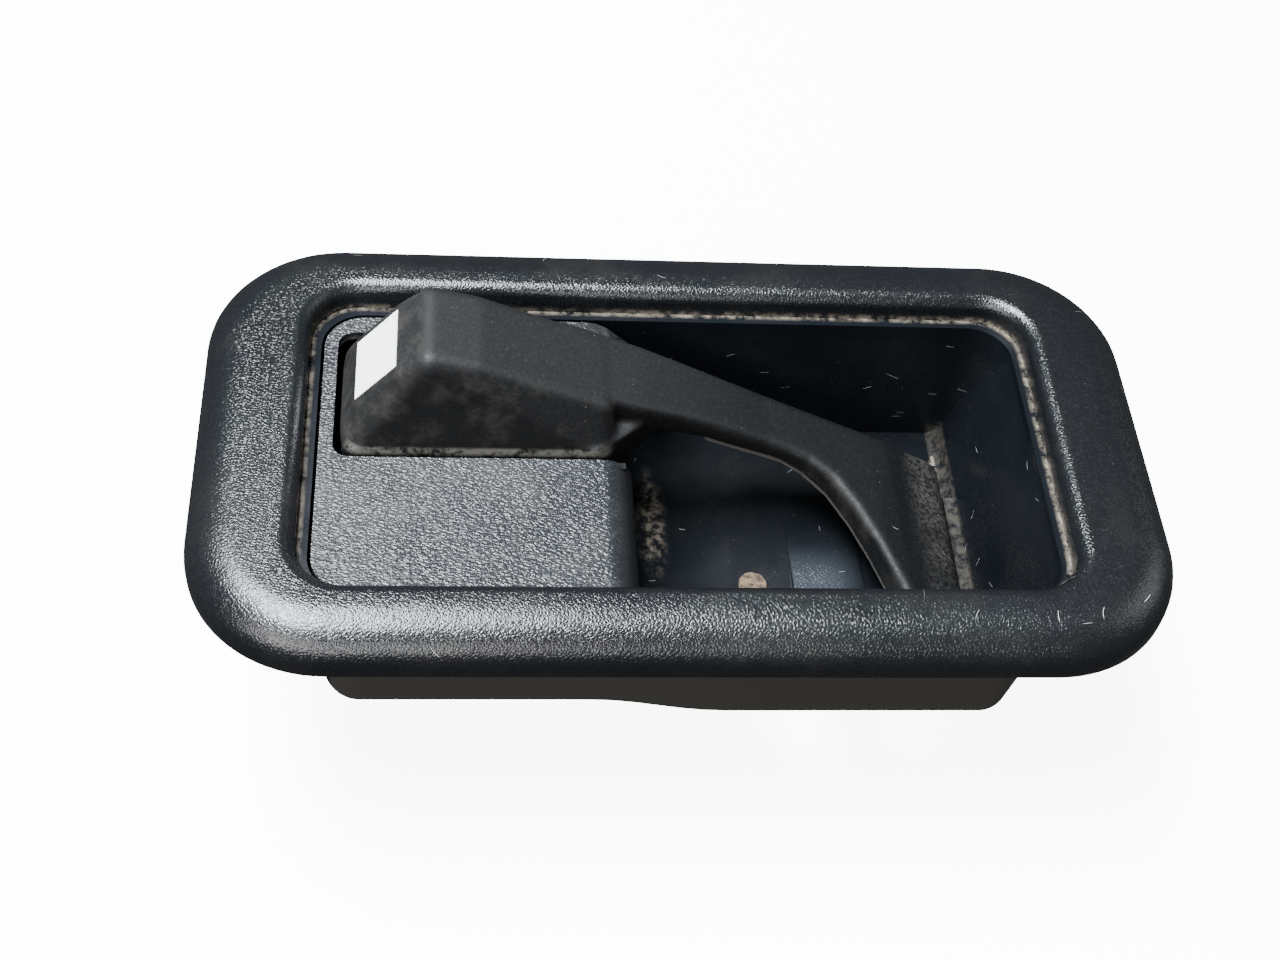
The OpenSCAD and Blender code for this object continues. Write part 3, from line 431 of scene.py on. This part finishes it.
def plated_material(name, base, stain, rough, stain_low):
    """Zinc or yellow plating, with rust where the plating has gone; stain_low sets how much has."""
    t = Tree(name)
    spots = t.ramp(t.noise(t.place, 0.75, 5.0, 0.75), stain_low, stain_low + 0.25)
    tone = t.noise(t.place, 0.3, 3.0)
    color = t.mix(tone, tuple(v * 0.75 for v in base), base)
    color = t.mix(spots, color, stain)
    lines = t.noise(t.vector("MULTIPLY", t.place, (9.0, 1.0, 1.0)), 1.4, 3.0)
    normal = t.bump(t.add(t.multiply(lines, 0.4), t.multiply(spots, 0.8)), 0.03)
    return t.finish(color, t.add(rough, t.multiply(spots, 0.45), t.multiply(tone, 0.08)), normal,
                    t.ramp(spots, 0.0, 1.0, 0.9, 0.1))


def moulded_material(name, dark, light, rough, grain, dusty):
    """A plain moulding: mottled colour, fine grain, dust in patches and specks."""
    t = Tree(name)
    color = t.mix(t.noise(t.place, 0.09, 4.0), dark, light)
    patches = t.ramp(t.noise(t.place, 0.14, 5.0, 0.7), 0.48, 0.75, 0.0, dusty)
    grit = t.multiply(t.specks(0.5, 0.12, 0.35), dusty * 1.6)
    covered = t.most(patches, grit)
    color = t.mix(covered, color, DUST)
    fine = t.noise(t.place, grain, 4.0, 0.65)
    rough = t.add(rough, t.multiply(covered, 0.3), t.multiply(fine, 0.08))
    return t.finish(color, rough, t.bump(fine, 0.03))


def foam_material():
    t = Tree("foam")
    pores = t.ramp(t.cells(t.place, 2.2)["Distance"], 0.15, 0.6)
    color = t.mix(pores, (0.008, 0.008, 0.008), (0.045, 0.044, 0.042))
    return t.finish(color, 0.95, t.bump(pores, 0.2))


def cast_material():
    t = Tree("cast_zinc")
    skin = t.noise(t.place, 1.0, 5.0, 0.7)
    color = t.mix(skin, (0.26, 0.26, 0.26), (0.42, 0.42, 0.41))
    stain = t.ramp(t.noise(t.place, 0.22, 5.0, 0.7), 0.5, 0.72)
    color = t.mix(t.multiply(stain, 0.6), color, (0.19, 0.175, 0.15))
    return t.finish(color, t.add(0.42, t.multiply(skin, 0.2)), t.bump(skin, 0.06), 0.85)


# name: plating, rust, roughness, stain_low
PLATED = {
    "zinc_screws": ((0.6, 0.6, 0.57), (0.16, 0.1, 0.06), 0.3, 0.56),
    "pin_steel": ((0.62, 0.53, 0.36), (0.17, 0.095, 0.05), 0.28, 0.52),
    "spring_steel": ((0.52, 0.47, 0.37), (0.15, 0.1, 0.06), 0.3, 0.55),
    "spring_wire": ((0.6, 0.48, 0.27), (0.16, 0.09, 0.045), 0.3, 0.5),
    "clip_brass": ((0.22, 0.155, 0.09), (0.026, 0.015, 0.008), 0.34, 0.34),
}

# name: dark and light tone, roughness, grain, dustiness
MOULDED = {
    "nylon": ((0.58, 0.55, 0.46), (0.7, 0.67, 0.58), 0.42, 0.8, 0.3),
    "buffer_rubber": ((0.012, 0.012, 0.012), (0.02, 0.02, 0.02), 0.75, 1.5, 0.3),
    "lever_back_plastic": ((0.045, 0.042, 0.038), (0.07, 0.066, 0.06), 0.42, 1.4, 0.35),
    "clip_plastic": ((0.03, 0.085, 0.05), (0.05, 0.12, 0.07), 0.35, 1.0, 0.3),
}


def make_materials():
    """Every material under the name of its slot in the record."""
    made = {
        "bezel_plastic": bezel_material(),
        "housing_plastic": housing_material(),
        "plate_plastic": plate_material(),
        "lever_plastic": lever_material(),
        "marker_white": marker_material(),
        "foam": foam_material(),
        "cast_zinc": cast_material(),
    }
    for name, look in PLATED.items():
        made[name] = plated_material(name, *look)
    for name, look in MOULDED.items():
        made[name] = moulded_material(name, *look)
    return made


def assign(obj, material):
    if obj.data.materials:
        for i in range(len(obj.data.materials)):
            obj.data.materials[i] = material
    else:
        obj.data.materials.append(material)


# ---------- pieces ----------

def apply_modifiers(piece, material):
    """Gives the piece the mesh that its modifiers make, with one material, under the piece's own name."""
    bpy.context.view_layer.update()
    depsgraph = bpy.context.evaluated_depsgraph_get()
    mesh = bpy.data.meshes.new_from_object(piece.evaluated_get(depsgraph), preserve_all_data_layers=True,
                                           depsgraph=depsgraph)
    piece.modifiers.clear()
    piece.data = mesh
    mesh.name = piece.name
    mesh.materials.clear()
    mesh.materials.append(material)


def fill_marker_pocket(bm):
    """Adds a block that closes the pocket behind the marker, so the smoothing leaves its edge crisp."""
    grow = 0.4 * MM
    thick = 2.2 * MM
    sink = 0.12 * MM
    marker = nodes["marker"].data
    middle = (marker_low + marker_high) * 0.5 * MM
    normal = max(marker.polygons, key=lambda f: f.normal.z * f.area).normal.copy()
    along = Vector((normal.z, 0, -normal.x)).normalized()
    reach = [(v.co - middle).dot(along) for v in marker.vertices]
    face = max((v.co - middle).dot(normal) for v in marker.vertices)
    size = (max(reach) - min(reach) + grow, (marker_high.y - marker_low.y) * MM + grow, thick)
    turn = Matrix((along, Vector((0, 1, 0)), normal)).transposed().to_4x4()
    shift = Matrix.Translation(middle + normal * (face - sink - thick / 2))
    place = shift @ turn @ Matrix.Diagonal((*size, 1))
    for v in bmesh.ops.create_cube(bm, size=1.0)["verts"]:
        v.co = place @ v.co


def smooth_lever(material):
    """The lever's moulding with its edges and fillets run together, as the real one's are."""
    mesh = nodes["lever"].data.copy()
    piece = bpy.data.objects.new("lever_moulding", mesh)
    bpy.context.scene.collection.objects.link(piece)
    bm = bmesh.new()
    bm.from_mesh(mesh)
    bmesh.ops.remove_doubles(bm, verts=bm.verts, dist=0.001 * MM)
    fill_marker_pocket(bm)
    bm.to_mesh(mesh)
    bm.free()
    remesh = piece.modifiers.new("remesh", "REMESH")
    remesh.mode = "VOXEL"
    remesh.voxel_size = 0.5 * MM
    remesh.use_smooth_shade = True
    smooth = piece.modifiers.new("smooth", "SMOOTH")
    smooth.factor = 0.5
    smooth.iterations = 8
    apply_modifiers(piece, material)
    for polygon in piece.data.polygons:
        polygon.use_smooth = True
    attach(piece, "lever")
    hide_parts("lever")


def smooth_shell(node, body, material):
    """A CAD node as it is, but shaded as the continuous rounded surface that it stands for."""
    sharp_angle = math.radians(32)
    mesh = nodes[node].data.copy()
    if "custom_normal" in mesh.attributes:
        mesh.attributes.remove(mesh.attributes["custom_normal"])
    bm = bmesh.new()
    bm.from_mesh(mesh)
    bmesh.ops.remove_doubles(bm, verts=bm.verts, dist=0.001 * MM)
    bm.to_mesh(mesh)
    bm.free()
    for polygon in mesh.polygons:
        polygon.use_smooth = True
    mesh.set_sharp_from_angle(angle=sharp_angle)
    piece = bpy.data.objects.new(node + "_skin", mesh)
    bpy.context.scene.collection.objects.link(piece)
    weighted = piece.modifiers.new("weighted", "WEIGHTED_NORMAL")
    weighted.weight = 90
    weighted.keep_sharp = True
    apply_modifiers(piece, material)
    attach(piece, body)
    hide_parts(node)


# ---------- camera, floor and light ----------

def add_camera():
    """The camera looks down at the bezel from the near side and a little from the left."""
    pitch, yaw, roll = (math.radians(a) for a in (51.493, 9.563, 8.232))
    forward = Vector((math.sin(yaw) * math.cos(pitch), math.cos(yaw) * math.cos(pitch), -math.sin(pitch)))
    right = Vector((math.cos(yaw), -math.sin(yaw), 0))
    up = right.cross(forward)
    tilted_right = math.cos(roll) * right + math.sin(roll) * up
    tilted_up = math.cos(roll) * up - math.sin(roll) * right
    data = bpy.data.cameras.new("camera")
    data.lens = 51.58
    data.sensor_width = 36
    data.clip_start = 0.01
    camera = bpy.data.objects.new("camera", data)
    bpy.context.scene.collection.objects.link(camera)
    turn = Matrix((tilted_right, tilted_up, -forward)).transposed().to_4x4()
    camera.matrix_world = Matrix.Translation((-0.0424, -0.2106, 0.2621)) @ turn
    bpy.context.scene.camera = camera


def area_light(name, place, aim, size, power, color=(1, 1, 1)):
    """A rectangular light at place, in metres and watts, turned towards aim."""
    data = bpy.data.lights.new(name, "AREA")
    data.shape = "RECTANGLE"
    data.size, data.size_y = size
    data.energy = power
    data.color = color
    light = bpy.data.objects.new(name, data)
    light.location = place
    light.rotation_mode = "QUATERNION"
    light.rotation_quaternion = (Vector(aim) - Vector(place)).to_track_quat("-Z", "Y")
    bpy.context.scene.collection.objects.link(light)


def add_world():
    world = bpy.data.worlds.new("studio")
    bpy.context.scene.world = world
    world.use_nodes = True
    background = world.node_tree.nodes["Background"]
    background.inputs["Color"].default_value = (0.9, 0.94, 1, 1)
    background.inputs["Strength"].default_value = 0.10


def add_floor():
    """A plain white floor just below the part, as bright as its background, that throws no light back."""
    half = 3.0
    z = cad_box[0].z - 2 * MM
    corners = [(-half, -half, z), (half, -half, z), (half, half, z), (-half, half, z)]
    mesh = bpy.data.meshes.new("floor")
    mesh.from_pydata(corners, [], [(0, 1, 2, 3)])
    floor = bpy.data.objects.new("floor", mesh)
    bpy.context.scene.collection.objects.link(floor)
    material = bpy.data.materials.new("floor")
    material.use_nodes = True
    shader = material.node_tree.nodes["Principled BSDF"]
    shader.inputs["Base Color"].default_value = (0.97, 0.97, 0.97, 1)
    shader.inputs["Roughness"].default_value = 1.0
    shader.inputs["Specular IOR Level"].default_value = 0.0
    shader.inputs["Emission Color"].default_value = (1, 1, 1, 1)
    shader.inputs["Emission Strength"].default_value = 8.0
    mesh.materials.append(material)
    floor.visible_diffuse = False
    floor.visible_glossy = False


def add_lights():
    """A broad soft light above the near left, and two weak fills."""
    area_light("overhead", (-0.33, 0.04, 1.0), (-0.33, 0.04, 0), (0.42, 0.7), 84, (0.9, 0.95, 1))
    area_light("near_fill", (-0.45, -0.8, 0.55), (0, 0, 0), (1.0, 0.5), 17)
    area_light("right_fill", (0.9, 0.1, 0.5), (0, 0, 0), (0.5, 0.5), 2)


# ---------- run ----------

materials = make_materials()
record_slots = {s["node"]: s["material_slot"] for s in frame["record"]["subparts"]}
for name, obj in nodes.items():
    assign(obj, materials[record_slots[name]])
smooth_lever(materials["lever_plastic"])
for name in ("bezel", "housing", "cover_plate"):
    smooth_shell(name, "housing", materials[record_slots[name]])
add_camera()
add_world()
add_floor()
add_lights()
